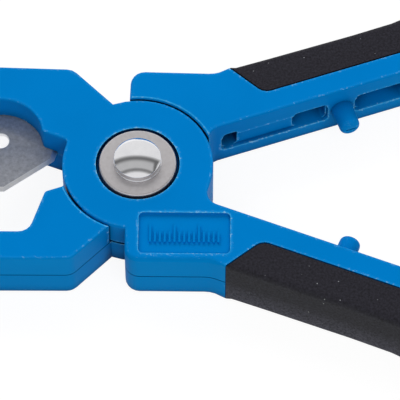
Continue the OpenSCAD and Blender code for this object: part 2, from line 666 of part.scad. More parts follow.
// Wire along a route, as rings of points round it
module wire(route, r) {
  n = len(route);
  rings = [for (i = [0:n - 1]) let (ahead = route[min(i + 1, n - 1)] - route[max(i - 1, 0)],
    t = ahead / norm(ahead), level = cross([0, 0, 1], t), u = level / norm(level), v = cross(t, u))
    for (k = [0:wire_sides - 1]) let (a = full_turn * k / wire_sides) route[i] + r * (u * cos(a) + v * sin(a))];
  around = [for (i = [0:n - 2]) for (k = [0:wire_sides - 1])
    let (p = i * wire_sides + k, q = i * wire_sides + (k + 1) % wire_sides)
    each [[p, q + wire_sides, q], [p, p + wire_sides, q + wire_sides]]];
  last = (n - 1) * wire_sides;
  polyhedron(rings, concat([for (k = [1:wire_sides - 2]) [0, k, k + 1]], around,
    [for (k = [1:wire_sides - 2]) [last, last + k + 1, last + k]]));
}

// Torsion spring round the bush: a leg in each lever's disc, and coils between them
function leg(z) = let (b = 2 * wire_r, slant = asin(b / (coil_r + b)), o = (coil_r + b) * dir(slant))
  concat([[coil_r + leg_l, 0, z]], [for (i = [0:4]) let (p = o + b * dir(270 - (90 - slant) * i / 4))
    [p.x, p.y, z]]);
module return_spring() color("gray") at_blade_lever() {
  slant = asin(2 * wire_r / (coil_r + 2 * wire_r));
  turn_all = full_turn * coil_turns;
  sweep = turn_all - 2 * slant;
  n = ceil(sweep / 15);
  low_z = mid_z - coil_h / 2 + wire_r;
  high_z = mid_z + coil_h / 2 - wire_r;
  low_leg = leg(low_z);
  high_leg = leg(high_z);
  coils = [for (i = [1:n - 1]) let (a = slant + sweep * i / n)
    [coil_r * cos(a), coil_r * sin(a), low_z + (high_z - low_z) * i / n]];
  last = [for (i = [len(high_leg) - 1:-1:0]) let (p = high_leg[i],
    q = turned([p.x, -p.y], turn_all)) [q.x, q.y, p.z]];
  rotate(low_leg_at) wire(concat(low_leg, coils, last), wire_r);
}

// Latch: an arm on its own pin in the upper handle, with a hook for the catch pin
module latch() color(black) at_anvil_lever() translate([latch_at, -pin_y, mid_z - latch_t / 2]) {
  notch_r = pin_r + hook_play;
  tip = latch_reach + notch_r + hook_lip;
  difference() {
    linear_extrude(latch_t) polygon(flat_all(rounded([
      [-latch_half, -latch_half, latch_half * round_share, 0], [tip, -latch_half, latch_half / 2, 0],
      [tip, latch_half, latch_half / 2, 0], [tip * tab_shares[3], latch_half, 0, 0],
      [tip * tab_shares[2], latch_half + tab_h, 0, 0],
      [tip * tab_shares[1], latch_half + tab_h, 0, 0], [tip * tab_shares[0], latch_half, 0, 0],
      [-latch_half, latch_half, latch_half * round_share, 0]])));
    translate([0, 0, -over]) cylinder(r = pin_r + run_play, h = latch_t + 2 * over);
    translate([latch_reach, hook_depth, -over]) cylinder(r = notch_r, h = latch_t + 2 * over);
    translate([latch_reach - notch_r, hook_depth, -over])
      cube([2 * notch_r, latch_half, latch_t + 2 * over]);
  }
}
module handle_pin() translate([latch_at, -pin_y, back_sink])
  cylinder(r = pin_r, h = body_t - 2 * back_sink);
module latch_pin() color(steel) at_anvil_lever() handle_pin();
module catch_pin() color(steel) at_blade_lever() handle_pin();

blade_lever();
anvil_lever();
blade_cover();
cover_screws();
blade();
lower_grip();
upper_grip();
pivot_rivet();
pivot_bush();
front_washer();
back_washer();
friction_ring();
return_spring();
latch();
latch_pin();
catch_pin();
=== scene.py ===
# %% [markdown]
# # A hose cutter, dressed for its picture
# The CAD part is already exact: its sizes, joints and places are settled. This lesson gives it
# the surfaces of the real tool. We load the imported part as a frame that must not be moved,
# and build finer pieces around it, each of which, but the spring, rides on one of its moving
# bodies.

# %% Load the imported part
import math

import bmesh
import bpy
from mathutils import Matrix, Vector
from mathutils.bvhtree import BVHTree


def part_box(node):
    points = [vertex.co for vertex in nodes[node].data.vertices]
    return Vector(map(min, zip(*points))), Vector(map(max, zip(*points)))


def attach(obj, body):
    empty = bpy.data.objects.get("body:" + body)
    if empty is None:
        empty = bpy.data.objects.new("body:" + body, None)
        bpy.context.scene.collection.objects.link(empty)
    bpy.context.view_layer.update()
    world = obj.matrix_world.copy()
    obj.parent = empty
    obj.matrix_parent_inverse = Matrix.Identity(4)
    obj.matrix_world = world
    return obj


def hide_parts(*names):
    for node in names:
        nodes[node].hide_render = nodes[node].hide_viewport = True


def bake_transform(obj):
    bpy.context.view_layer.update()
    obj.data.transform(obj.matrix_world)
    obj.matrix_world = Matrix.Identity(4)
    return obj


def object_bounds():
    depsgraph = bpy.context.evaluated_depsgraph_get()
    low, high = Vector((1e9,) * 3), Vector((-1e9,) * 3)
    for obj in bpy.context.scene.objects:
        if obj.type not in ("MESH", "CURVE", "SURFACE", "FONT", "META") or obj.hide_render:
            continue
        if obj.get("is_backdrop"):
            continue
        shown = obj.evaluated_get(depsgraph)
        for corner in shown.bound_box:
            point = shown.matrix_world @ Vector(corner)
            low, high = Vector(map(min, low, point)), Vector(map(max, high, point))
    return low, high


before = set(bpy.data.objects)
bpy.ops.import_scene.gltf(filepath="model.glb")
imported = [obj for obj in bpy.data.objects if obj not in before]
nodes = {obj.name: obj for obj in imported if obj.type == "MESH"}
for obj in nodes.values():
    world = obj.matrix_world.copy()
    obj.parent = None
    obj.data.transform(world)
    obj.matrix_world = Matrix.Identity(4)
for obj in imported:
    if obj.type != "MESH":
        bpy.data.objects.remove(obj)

cad_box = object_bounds()
MM = 0.001

# %% [markdown]
# ## Camera
# The tool was photographed from well above, almost square on, with a long lens: its edges
# stay parallel in the picture. A 300 mm lens far away gives the same flat perspective.
# The camera aims at a point near the pivot, because the picture shows only the head.

# %% Camera
VIEW_TURN = math.radians(1.2)
VIEW_LIFT = math.radians(58.5)
AIM = Vector((13.02, -4.52, 6.75)) * MM
LENS = 300.0
SENSOR = 36.0
SEEN_WIDTH = 83.3 * MM

view_back = Vector((math.sin(VIEW_TURN) * math.cos(VIEW_LIFT),
                    -math.cos(VIEW_TURN) * math.cos(VIEW_LIFT), math.sin(VIEW_LIFT)))
camera_data = bpy.data.cameras.new("picture_camera")
camera_data.lens = LENS
camera_data.sensor_width = SENSOR
camera = bpy.data.objects.new("picture_camera", camera_data)
bpy.context.collection.objects.link(camera)
camera.location = AIM + view_back * SEEN_WIDTH * LENS / SENSOR
camera.rotation_euler = view_back.to_track_quat("Z", "Y").to_euler()
bpy.context.scene.camera = camera
print("camera stands", round(SEEN_WIDTH * LENS / SENSOR / MM), "mm away")

# %% [markdown]
# ## Helpers for nodes and colours
# Paint colours are easiest to read as the hex values of a colour picker, but shaders count in
# linear light. One function converts them, and one adds a node with its settings and links.

# %% Colour and node helpers
def paint(code):
    """A hex colour such as #027AC6 as linear red, green, blue and alpha."""
    shares = [int(code[i:i + 2], 16) / 255 for i in (1, 3, 5)]
    return (*[s / 12.92 if s <= 0.04045 else ((s + 0.055) / 1.055) ** 2.4 for s in shares], 1.0)


def grey(level):
    """An even grey of this linear level, where 1 is white."""
    return (level, level, level, 1)


def add(tree, kind, feeds=None, **settings):
    """Adds one node. A feed is a plain value, or the output socket of another node."""
    made = tree.nodes.new("ShaderNode" + kind)
    for name, value in settings.items():
        setattr(made, name, value)
    for socket, value in (feeds or {}).items():
        if isinstance(value, bpy.types.NodeSocket):
            tree.links.new(value, made.inputs[socket])
        else:
            made.inputs[socket].default_value = value
    return made


def reckon(tree, operation, *values):
    """The result of a sum on one or two values."""
    return add(tree, "Math", dict(enumerate(values)), operation=operation).outputs[0]


def remap(tree, value, given, wanted):
    """Turns a value that runs between two given numbers into one between two wanted ones."""
    return add(tree, "MapRange", dict(enumerate((value, *given, *wanted)))).outputs[0]


def mix(tree, share, first, second):
    """The first colour where the share is 0, the second where it is 1, a blend between."""
    return add(tree, "Mix", {0: share, 6: first, 7: second}, data_type="RGBA").outputs[2]


def ramp(tree, value, stops):
    """A grey that runs from stop to stop, each given as the value and its level."""
    made = add(tree, "ValToRGB", {0: value})
    elements = made.color_ramp.elements
    while len(elements) < len(stops):
        elements.new(0.5)
    for element, (place, level) in zip(elements, stops):
        element.position = place
        element.color = grey(level)
    return made.outputs[0]


def per(size_mm):
    """The scale at which a texture repeats about every size_mm millimetres."""
    return 1 / (size_mm * MM)


def noise(tree, place, size_mm, detail, roughness=0.5):
    """Cloudy noise whose clouds are about size_mm millimetres wide."""
    return add(tree, "TexNoise", {"Vector": place, "Scale": per(size_mm), "Detail": detail,
                                  "Roughness": roughness}).outputs[0]


def in_mm(corners):
    """The corners of a box as one list of rounded millimetres, for printing."""
    return [round(v / MM, 2) for corner in corners for v in corner]


view = bpy.context.scene.view_settings
view.view_transform = "Standard"
print("view transform", view.view_transform)

# %% [markdown]
# ## Studio
# The dome of the rivet mirrors the whole studio: a white wall behind, a dark strip overhead, a
# grey panel in front that ends on the right in a dark frame, and white beyond it. The sky
# colour is made from the angle away from straight behind, so that the same bands lie side by
# side in the steel. Rays from the camera see plain white instead.

# %% World
# Brightness by the angle from straight behind, as a share of half a turn
BANDS = [(0.00, 1.0), (0.345, 1.0), (0.375, 0.45), (0.40, 0.20), (0.425, 0.20), (0.466, 0.52),
         (0.483, 0.60), (0.575, 0.62), (0.605, 0.26), (0.63, 0.30), (0.67, 1.0), (1.00, 1.0)]
FRONT_START = 0.40
# The panel's dark frame, and the white beyond it, by how far to the right a ray points
FRAME = [(0.72, 0), (0.79, 1), (0.84, 1), (0.88, 0)]
SIDE_START = (0.85, 0.90)
FRAME_LEVEL, SIDE_LEVEL = 0.18, 0.95
# How strongly the studio lights matt surfaces, and how strongly it is mirrored
ROOM_POWER = (0.72, 0.92)

world = bpy.data.worlds.new("studio")
bpy.context.scene.world = world
world.use_nodes = True
sky = world.node_tree
direction = add(sky, "TexCoord").outputs["Generated"]
axes = add(sky, "SeparateXYZ", {0: direction}).outputs
turn = reckon(sky, "DIVIDE", reckon(sky, "ARCCOSINE", axes["Y"]), math.pi)
in_front = reckon(sky, "GREATER_THAN", turn, FRONT_START)
framed = reckon(sky, "MULTIPLY", ramp(sky, axes["X"], FRAME), in_front)
edged = mix(sky, framed, ramp(sky, turn, BANDS), grey(FRAME_LEVEL))
whole = mix(sky, remap(sky, axes["X"], SIDE_START, (0, 1)), edged, grey(SIDE_LEVEL))
eye = add(sky, "LightPath").outputs
lit = sky.nodes["Background"]
sky.links.new(whole, lit.inputs["Color"])
sky.links.new(remap(sky, eye["Is Glossy Ray"], (0, 1), ROOM_POWER), lit.inputs["Strength"])
seen = add(sky, "Background", {"Color": grey(1), "Strength": 1.0})
either = add(sky, "MixShader", {0: eye["Is Camera Ray"], 1: lit.outputs[0],
                                2: seen.outputs[0]})
sky.links.new(either.outputs[0], sky.nodes["World Output"].inputs["Surface"])
print("world has", len(BANDS), "bands")

# %% [markdown]
# ## Lamps
# Two large softboxes model the form: a strong one high behind the tool, and a weaker one in
# front that lifts the walls towards the camera. The steel doesn't mirror them, because the
# studio above is what it mirrors.

# %% Lamps
def softbox(name, size, place, power):
    """An area lamp, given in millimetres, that faces the tool and isn't mirrored in it."""
    data = bpy.data.lights.new(name, "AREA")
    data.shape = "RECTANGLE"
    data.size, data.size_y = (side * MM for side in size)
    data.energy = power
    lamp = bpy.data.objects.new(name, data)
    bpy.context.collection.objects.link(lamp)
    lamp.visible_glossy = False
    lamp.location = Vector(place) * MM
    lamp.rotation_euler = (lamp.location - AIM).to_track_quat("Z", "Y").to_euler()
    print(name, power, "W")


softbox("back_softbox", (700, 400), (-150, 520, 420), 2.6)
softbox("front_softbox", (500, 300), (260, -420, 520), 1.25)

# %% [markdown]
# ## Floor
# The picture has a pure white ground. What the camera and the steel see of the floor is almost
# plain white, plus a thin share of a matt surface, in which a soft shadow still shows. All other
# rays meet matt white, which throws light back up at the walls of the tool.

# %% Floor
FLOOR_SIZE, FLOOR_DEPTH = 6, 0.1 * MM
GLOW, FLOOR_ROUGHNESS = 0.9, 0.9
THROWN_BACK, LOOKED_AT = "#F2FFE1", "#6E6E6E"
bpy.ops.mesh.primitive_plane_add(size=FLOOR_SIZE, location=(0, 0, -FLOOR_DEPTH))
floor = bpy.context.active_object
floor.name = "studio_floor"
# Painted paper: matt white under the lamps, with a glow where it is looked at
floor_finish = bpy.data.materials.new("white_studio_floor")
floor_finish.use_nodes = True
ground = floor_finish.node_tree
matt = ground.nodes["Principled BSDF"]
matt.inputs["Roughness"].default_value = FLOOR_ROUGHNESS
ray = add(ground, "LightPath").outputs
looks = reckon(ground, "MAXIMUM", ray["Is Camera Ray"], ray["Is Glossy Ray"])
looks = reckon(ground, "MAXIMUM", looks, ray["Is Transmission Ray"])
ground.links.new(mix(ground, looks, paint(THROWN_BACK), paint(LOOKED_AT)),
                 matt.inputs["Base Color"])
glow = add(ground, "Emission", {"Color": grey(1),
                                "Strength": reckon(ground, "MULTIPLY", looks, GLOW)})
both = add(ground, "AddShader", {0: matt.outputs[0], 1: glow.outputs[0]})
ground.links.new(both.outputs[0], ground.nodes["Material Output"].inputs["Surface"])
floor.data.materials.append(floor_finish)
floor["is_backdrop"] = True
print("floor at", -FLOOR_DEPTH / MM, "mm")

# %% [markdown]
# ## Blue moulded nylon
# The levers are injection-moulded, glass-filled nylon. The mould's spark-eroded wall leaves a
# satin skin with a grain far finer than a millimetre. Handling rubs the corners pale: an
# ambient occlusion node turned inwards is dark just behind a sharp edge, and noise breaks that
# line into scuffs. The same node also paints an unbroken, paler highlight along sharp edges. A
# second such node, turned outwards, paints shade into the deep rooms of the mould, as dark as
# they look under a lamp: little light finds its way back out of saturated blue. The colour
# drifts a little, as the melt does on its way through the mould.

# %% Nylon
def new_finish(name):
    """A material with its node tree, its shader and the place on the piece."""
    made = bpy.data.materials.new(name)
    made.use_nodes = True
    tree = made.node_tree
    return made, tree, tree.nodes["Principled BSDF"], add(tree, "TexCoord").outputs["Object"]


def rough_and_bump(tree, shader, pattern, rough, height_mm, strength):
    """Lets a pattern vary the shader's roughness between two values, and raise its surface."""
    tree.links.new(remap(tree, pattern, (0, 1), rough), shader.inputs["Roughness"])
    bump = add(tree, "Bump", {"Height": pattern, "Distance": height_mm * MM, "Strength": strength})
    tree.links.new(bump.outputs[0], shader.inputs["Normal"])


# Heights in millimetres at which nothing is rubbed nor given the painted edge highlight: the marks
# on the panel, and the parting line
MARKS, LINE = (12.6, 13.35), (6.4, 7.1)
# The panel and its marks lie on the near side of this place across the tool, in millimetres: on
# the panel, at the heights of the marks, no painted shade is put into recesses
PANEL_BACK = -11.0
DRIFT_MM, SCUFF_MM, NYLON_GRAIN_MM = 16, 0.9, 0.45
# How open a corner or a recess is, and how much of the painted shade shows in recesses at those
# two values
CORNER_OPEN, HOLLOW_OPEN, HOLLOW_SHADE_SHOWS = (0.9, 0.6), (0.25, 0.8), (0.95, 0)
# Share by which sharp edges are painted paler, as a painted highlight
CORNER_HIGHLIGHT = 0.4
# The reach of the painted shade in recesses, and its near-black blue
HOLLOW_SHADE_MM = 4.5
PAINTED_SHADE_BLUE = (0, 0.01, 0.06, 1)
PLASTIC_IOR = 1.5
AO_SAMPLES = 8


def beyond(tree, height, heights):
    """1 outside these two heights in millimetres, and 0 between them."""
    low, high = heights
    away = reckon(tree, "SUBTRACT", height, (low + high) / 2 * MM)
    return reckon(tree, "GREATER_THAN", reckon(tree, "ABSOLUTE", away), (high - low) / 2 * MM)


def moulded(name, deep, light, highlight_and_tint, rubbed, wear_mm, sunk, scuffs):
    """Moulded plastic: two tones that drift into each other, fine grain, edges with a painted
    paler highlight that are also rubbed where noise lies within scuffs, but neither between the
    heights in sunk, in millimetres. Hollows get painted shade."""
    made, tree, shader, place = new_finish(name)
    shade = mix(tree, noise(tree, place, DRIFT_MM, 3), paint(deep), paint(light))
    inwards = add(tree, "AmbientOcclusion", {"Distance": wear_mm * MM}, inside=True,
                  only_local=True, samples=AO_SAMPLES)
    corner = remap(tree, inwards.outputs["AO"], CORNER_OPEN, (0, 1))
    broken = remap(tree, noise(tree, place, SCUFF_MM, 6, 0.72), scuffs, (0, 1))
    wear = reckon(tree, "MULTIPLY", corner, broken)
    # A painted highlight: every sharp edge is painted paler, unbroken
    painted_highlight = reckon(tree, "MULTIPLY", corner, CORNER_HIGHLIGHT)
    spot = add(tree, "SeparateXYZ", {0: place}).outputs
    for heights in sunk:
        wear, painted_highlight = (reckon(tree, "MULTIPLY", share, beyond(tree, spot["Z"], heights))
                       for share in (wear, painted_highlight))
    worn_and_highlit = mix(tree, wear, mix(tree, painted_highlight, shade, paint(highlight_and_tint)), paint(rubbed))
    # Painted shade: recesses are darkened towards a near-black blue
    outwards = add(tree, "AmbientOcclusion", {"Distance": HOLLOW_SHADE_MM * MM}, samples=AO_SAMPLES)
    painted_hollow_shade = remap(tree, outwards.outputs["AO"], HOLLOW_OPEN, HOLLOW_SHADE_SHOWS)
    off_panel = reckon(tree, "GREATER_THAN", spot["Y"], PANEL_BACK * MM)
    off_marks = reckon(tree, "MAXIMUM", off_panel, beyond(tree, spot["Z"], MARKS))
    dimmed = mix(tree, reckon(tree, "MULTIPLY", painted_hollow_shade, off_marks), worn_and_highlit, PAINTED_SHADE_BLUE)
    tree.links.new(dimmed, shader.inputs["Base Color"])
    grain = noise(tree, place, NYLON_GRAIN_MM, 4)
    rough_and_bump(tree, shader, grain, (0.36, 0.5), 0.02, 0.35)
    shader.inputs["IOR"].default_value = PLASTIC_IOR
    shader.inputs["Specular IOR Level"].default_value = 0.02
    shader.inputs["Specular Tint"].default_value = paint(highlight_and_tint)
    return made


# The skin of the levers as it left the mould
# The third colour is the painted highlight on the edges, and also the specular tint
blue_nylon = moulded("moulded_blue_nylon", "#0079C4", "#0081D0", "#2FA4EC", "#A0D8F6", 0.9,
                     [MARKS, LINE], (0.555, 0.64))
# Thin grooves painted darker, as painted shade: where the two halves of the mould met, and round
# the rubber
shaded_seam_nylon = moulded("shaded_blue_nylon_parting_line", "#003C6C", "#004478", "#004C84", "#005490", 0.3,
                     [], (0.6, 0.7))
# The narrow rounds along the mould's edges, where flash was scraped off: painted paler as a
# painted highlight, with white scuffs of wear
scraped_highlit_nylon = moulded("highlit_scraped_blue_nylon", "#1191DA", "#26A5E4", "#5CC0EE", "#A8E0F8", 1.0,
                        [], (0.5, 0.62))
print("finishes", blue_nylon.name, shaded_seam_nylon.name, scraped_highlit_nylon.name)

# %% [markdown]
# ## Black rubber
# The grips are thermoplastic rubber, moulded over the handle. The skin is matt with a pebbled
# grain, and it gathers pale dust, as the picture shows in tiny white specks. A Voronoi texture
# gives each cell one point, and only where a cell's random value is high does a speck show.

# %% Rubber
PEBBLE_MM, RUBBER_GRAIN_MM = 0.5, 0.38
# Low on the walls, between these heights, the pebbles are painted paler by this share: a painted
# reflection of the white floor
FLOOR_SHEEN_MM, FLOOR_SHEEN_SHARE, FLOOR_SHEEN_PAINT = (0.5, 7.5), 0.75, "#6A687A"
DUST_CELL_MM, SPECK_EDGE, DUST_FROM = 1.5, (0.09, 0.05), 0.68


def rubber(name, dark, light, dust):
    """Matt rubber with a fine pebble grain, a painted reflection of the floor that pales the walls
    low down, and a few specks of dust.
    """
    made, tree, shader, place = new_finish(name)
    pebbles = remap(tree, noise(tree, place, PEBBLE_MM, 8, 0.75), (0.36, 0.68), (0, 1))
    shade = mix(tree, pebbles, paint(dark), paint(light))
    height = add(tree, "SeparateXYZ", {0: place}).outputs["Z"]
    # Painted reflection of the floor: the walls are paler low down
    low = remap(tree, height, (h * MM for h in FLOOR_SHEEN_MM), (FLOOR_SHEEN_SHARE, 0))
    shade = mix(tree, reckon(tree, "MULTIPLY", low, pebbles), shade, paint(FLOOR_SHEEN_PAINT))
    cells = add(tree, "TexVoronoi", {"Vector": place, "Scale": per(DUST_CELL_MM)}).outputs
    speck = remap(tree, cells["Distance"], SPECK_EDGE, (0, 1))
    random = add(tree, "SeparateXYZ", {0: cells["Color"]}).outputs[0]
    chosen = reckon(tree, "GREATER_THAN", random, DUST_FROM)
    dusty = reckon(tree, "MULTIPLY", speck, chosen)
    tree.links.new(mix(tree, dusty, shade, paint(dust)), shader.inputs["Base Color"])
    grain = noise(tree, place, RUBBER_GRAIN_MM, 5, 0.65)
    rough_and_bump(tree, shader, grain, (0.62, 0.86), 0.06, 0.6)
    shader.inputs["IOR"].default_value = PLASTIC_IOR
    shader.inputs["Specular IOR Level"].default_value = 0.2
    return made


# The pebbled skin of the grips
black_rubber = rubber("moulded_black_rubber", "#17161B", "#32313A", "#A4A7AC")
# The rolled-in rim beside the nylon lies a little low; its near-black colour is painted shade
shaded_rim_rubber = rubber("shaded_rubber_rim", "#020203", "#060608", "#0A0A0C")
print("finishes", black_rubber.name, shaded_rim_rubber.name)

# %% [markdown]
# ## Metals
# Every metal here is one recipe with other numbers: a base colour that clouds a little, a grain
# whose size follows how it was made, and a roughness that the grain varies. Stretching the
# grain along one axis turns cloudy rolled sheet into ground or drawn steel.

# %% Metals
def metal(name, dark, light, cloud_mm, grain_mm, rough, stretch=(1, 1, 1), height=0.01,
          strength=0.3):
    """A bare or plated metal: clouded colour, and a grain that may be stretched."""
    made, tree, shader, place = new_finish(name)
    shader.inputs["Metallic"].default_value = 1.0
    cloud = remap(tree, noise(tree, place, cloud_mm, 6, 0.65), (0.3, 0.7), (0, 1))
    tree.links.new(mix(tree, cloud, paint(dark), paint(light)), shader.inputs["Base Color"])
    pulled = add(tree, "Mapping", {"Vector": place, "Scale": stretch})
    grain = noise(tree, pulled.outputs[0], grain_mm, 4)
    rough_and_bump(tree, shader, grain, rough, height, strength)
    return made


# The flats of the blade, as the rolls left them, and its ground edges
rolled_steel = metal("rolled_blade_steel", "#A6A8AE", "#C6C8CE", 0.7, 0.3, (0.55, 0.75))
ground_steel = metal("ground_blade_edge", "#E0E1E4", "#F0F0F1", 1.5, 0.12, (0.42, 0.52),
                     stretch=(1, 1, 0.1))
# Satin nickel on the washers, and the bare, buffed head of the rivet
plated_steel = metal("nickel_plated_washer", "#CBC7C8", "#D6D3D5", 0.8, 0.3, (0.38, 0.5))
polished_steel = metal("polished_rivet_steel", "#DCDCDF", "#E9E9EB", 5, 1.8, (0.06, 0.12),
                       strength=0.04)
# Bright zinc on the screws, cold-drawn wire in the spring, centreless-ground pins
zinc_steel = metal("zinc_plated_screw", "#B9BDC1", "#D2D3CE", 0.8, 0.25, (0.28, 0.42))
drawn_steel = metal("drawn_spring_wire", "#6E7074", "#8E9094", 1.0, 0.15, (0.3, 0.42),
                    stretch=(1, 1, 0.3))
ground_pin = metal("ground_pin_steel", "#B4B6BA", "#CFD0D3", 1.0, 0.15, (0.18, 0.3),
                   stretch=(1, 1, 8))
# The blackened latch, the porous bronze of the bush, and the white acetal of the friction ring
black_oxide = metal("black_oxide_steel", "#232326", "#38383C", 1.6, 0.3, (0.36, 0.52))
bronze = metal("sintered_bronze", "#A87B45", "#C39A5E", 0.6, 0.2, (0.4, 0.55), strength=0.5)
white_acetal = moulded("moulded_white_acetal", "#E6E4DC", "#EFEDE6", "#F2F1EA", "#F6F5F0", 0.3,
                       [], (0.54, 0.66))
print("finishes", len(bpy.data.materials))

# %% [markdown]
# ## Helpers for modelling
# Blender's operators act on whatever is selected, so each step first deselects all, and then
# picks faces or edges by where they are. The pieces that copy a CAD node start as its
# triangles: they are joined into whole faces, so that bevels run cleanly along real edges.

# %% Modelling helpers
def only(piece):
    """Selects this piece alone and makes it the active one."""
    if bpy.context.mode != "OBJECT":
        bpy.ops.object.mode_set(mode="OBJECT")
    bpy.ops.object.select_all(action="DESELECT")
    piece.select_set(True)
    bpy.context.view_layer.objects.active = piece


def edit(piece, mode="FACE"):
    """Opens the piece in edit mode with nothing selected."""
    only(piece)
    bpy.ops.object.mode_set(mode="EDIT")
    bpy.ops.mesh.select_mode(type=mode)
    bpy.ops.mesh.select_all(action="DESELECT")


def pick(piece, kind, test):
    """In edit mode, selects the faces, edges or verts that pass the test, and counts them."""
    bpy.ops.mesh.select_all(action="DESELECT")
    shape = bmesh.from_edit_mesh(piece.data)
    chosen = [element for element in getattr(shape, kind) if test(element)]
    for element in chosen:
        element.select_set(True)
    bmesh.update_edit_mesh(piece.data)
    return len(chosen)


def modify(piece, kind, **settings):
    """Adds a modifier with its settings and applies it."""
    only(piece)
    made = piece.modifiers.new(kind.lower(), kind)
    for name, value in settings.items():
        setattr(made, name, value)
    bpy.ops.object.modifier_apply(modifier=made.name)


def smooth(piece, degrees=34):
    """Smooth shading, sharp at edges beyond the angle, with flat faces kept flat."""
    only(piece)
    bpy.ops.object.shade_smooth_by_angle(angle=math.radians(degrees))
    modify(piece, "WEIGHTED_NORMAL", keep_sharp=True, weight=90)


def coat(piece, *finishes):
    """Gives a piece its materials, the first of them on all faces."""
    piece.data.materials.clear()
    for finish in finishes:
        piece.data.materials.append(finish)


# Points this near are one, and triangles this nearly in one plane become one face
JOIN_NEAR, JOIN_FLAT = 0.003 * MM, math.radians(0.4)


def cast(node, name, *finishes):
    """A new piece with a CAD node's form, its loose triangles joined into whole faces."""
    piece = bpy.data.objects.new(name, nodes[node].data.copy())
    bpy.context.collection.objects.link(piece)
    coat(piece, *finishes)
    only(piece)
    bpy.ops.mesh.customdata_custom_splitnormals_clear()
    edit(piece, "VERT")
    bpy.ops.mesh.select_all(action="SELECT")
    bpy.ops.mesh.remove_doubles(threshold=JOIN_NEAR)
    bpy.ops.mesh.dissolve_limited(angle_limit=JOIN_FLAT)
    bpy.ops.object.mode_set(mode="OBJECT")
    return piece


# The shortest edge that gets a round, and how near points are merged once it is made
SHORTEST, MERGE_NEAR = 0.05 * MM, 0.002 * MM
# A point further from the first skin than this share of the round's width is a stray
STRAY = 0.6


def soften(piece, width_mm, segments=2, degrees=38, spare=None):
    """Breaks the sharp edges with a small round, as a mould or a tumbling drum does. The
    rounds get the piece's last material. A bevel throws a point far out where very short edges
    meet, so any point that strays from the first skin is laid back on it."""
    edit(piece, "EDGE")
    skin = BVHTree.FromBMesh(bmesh.from_edit_mesh(piece.data))
    limit = math.radians(degrees)
    count = pick(piece, "edges", lambda edge: len(edge.link_faces) == 2 and edge.is_convex
                 and edge.calc_face_angle() > limit and edge.calc_length() > SHORTEST
                 and not (spare and spare(edge)))
    bpy.ops.mesh.bevel(offset=width_mm * MM, segments=segments, affect="EDGES",
                       clamp_overlap=False, material=len(piece.data.materials) - 1)
    shape = bmesh.from_edit_mesh(piece.data)
    strays = 0
    for v in shape.verts:
        place, _, _, apart = skin.find_nearest(v.co)
        if apart > STRAY * width_mm * MM:
            v.co = place
            strays += 1
    bmesh.update_edit_mesh(piece.data)
    bpy.ops.mesh.select_all(action="SELECT")
    bpy.ops.mesh.remove_doubles(threshold=MERGE_NEAR)
    bpy.ops.object.mode_set(mode="OBJECT")
    print(piece.name, count, "edges softened,", strays, "strays laid back")


def settle(piece, body, slot, *stands_for):
    """Gives a finished piece its body and the nodes it stands for; its slot is not used."""
    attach(piece, body)
    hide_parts(*stands_for)
    print(piece.name, len(piece.data.polygons), "faces on", body)


print("helpers ready")

# %% [markdown]
# ## The two levers and the cover
# Each lever is one moulding from nose to tail. Where the halves of the mould meet, at half its
# thickness, a fine line runs along its walls. It is cut with three parallel bisect planes,
# and the middle loop is pulled in by 0.13 mm: a real groove that catches shade. Its faces are
# also painted darker, as painted shade.

# %% Levers
# In the picture each handle stands this far from the middle line
HALF_OPEN = math.radians(20.45)
MID_Z = 6.75 * MM
# The line's half width, its depth, and how far from the middle a point still belongs to it
LINE_HALF, LINE_DEPTH, LINE_REACH = 0.13 * MM, 0.13 * MM, 0.143 * MM
CUT_NEAR = 0.001 * MM
# The lap joint's discs have no line, nor has the channel, which runs this far across a handle
DISC_CLEAR = 17.2 * MM
CHANNEL = (1.0 * MM, 9.0 * MM)
# A wall is upright while its direction points no more than this up or down
UPRIGHT = 0.2


def outer_wall(face, side):
    """Whether a face is an upright outside wall of the lever that leans to this side."""
    if abs(face.normal.z) > UPRIGHT:
        return False
    middle = face.calc_center_median()
    if Vector(middle[:2]).length < DISC_CLEAR:
        return False
    along = middle.x * math.cos(HALF_OPEN) - side * middle.y * math.sin(HALF_OPEN)
    across = middle.x * math.sin(HALF_OPEN) + side * middle.y * math.cos(HALF_OPEN)
    in_channel = along > 0 and -CHANNEL[1] < across < CHANNEL[0]
    return not in_channel and min(v.co.z for v in face.verts) < MID_Z < max(
        v.co.z for v in face.verts)


def parting_line(piece, side):
    """Cuts the mould's line into the outside walls at half their height."""
    edit(piece)
    for level in (-LINE_HALF, LINE_HALF, 0):
        walls = pick(piece, "faces", lambda face: outer_wall(face, side))
        bpy.ops.mesh.bisect(plane_co=(0, 0, MID_Z + level), plane_no=(0, 0, 1),
                            threshold=CUT_NEAR)
    bpy.ops.mesh.select_mode(type="VERT")
    loop = pick(piece, "verts", lambda v: abs(v.co.z - MID_Z) < LINE_HALF / 4 and len(
        v.link_edges) == 4 and all(abs(face.normal.z) < UPRIGHT for face in v.link_faces))
    bpy.ops.transform.shrink_fatten(value=-LINE_DEPTH)
    bpy.ops.mesh.select_mode(type="FACE")
    pick(piece, "faces", lambda face: abs(face.normal.z) < 0.9 and all(
        abs(v.co.z - MID_Z) < LINE_REACH for v in face.verts))
    # The line's faces get the darker material: painted shade in the groove
    piece.active_material_index = 1
    bpy.ops.object.material_slot_assign()
    bpy.ops.object.mode_set(mode="OBJECT")
    print(piece.name, "line across", walls, "walls,", loop, "points")


# Between these heights, edges this short are those of the marks on the panel's floor
PANEL_LOW, PANEL_HIGH, MARK_LENGTH = 12.6 * MM, 13.45 * MM, 5 * MM


def kept_sharp(edge):
    """Whether an edge belongs to the small marks on the panel's floor, or to the mould's line."""
    middle = (edge.verts[0].co + edge.verts[1].co) / 2
    return abs(middle.z - MID_Z) < LINE_REACH or (
        PANEL_LOW < middle.z < PANEL_HIGH and edge.calc_length() < MARK_LENGTH)


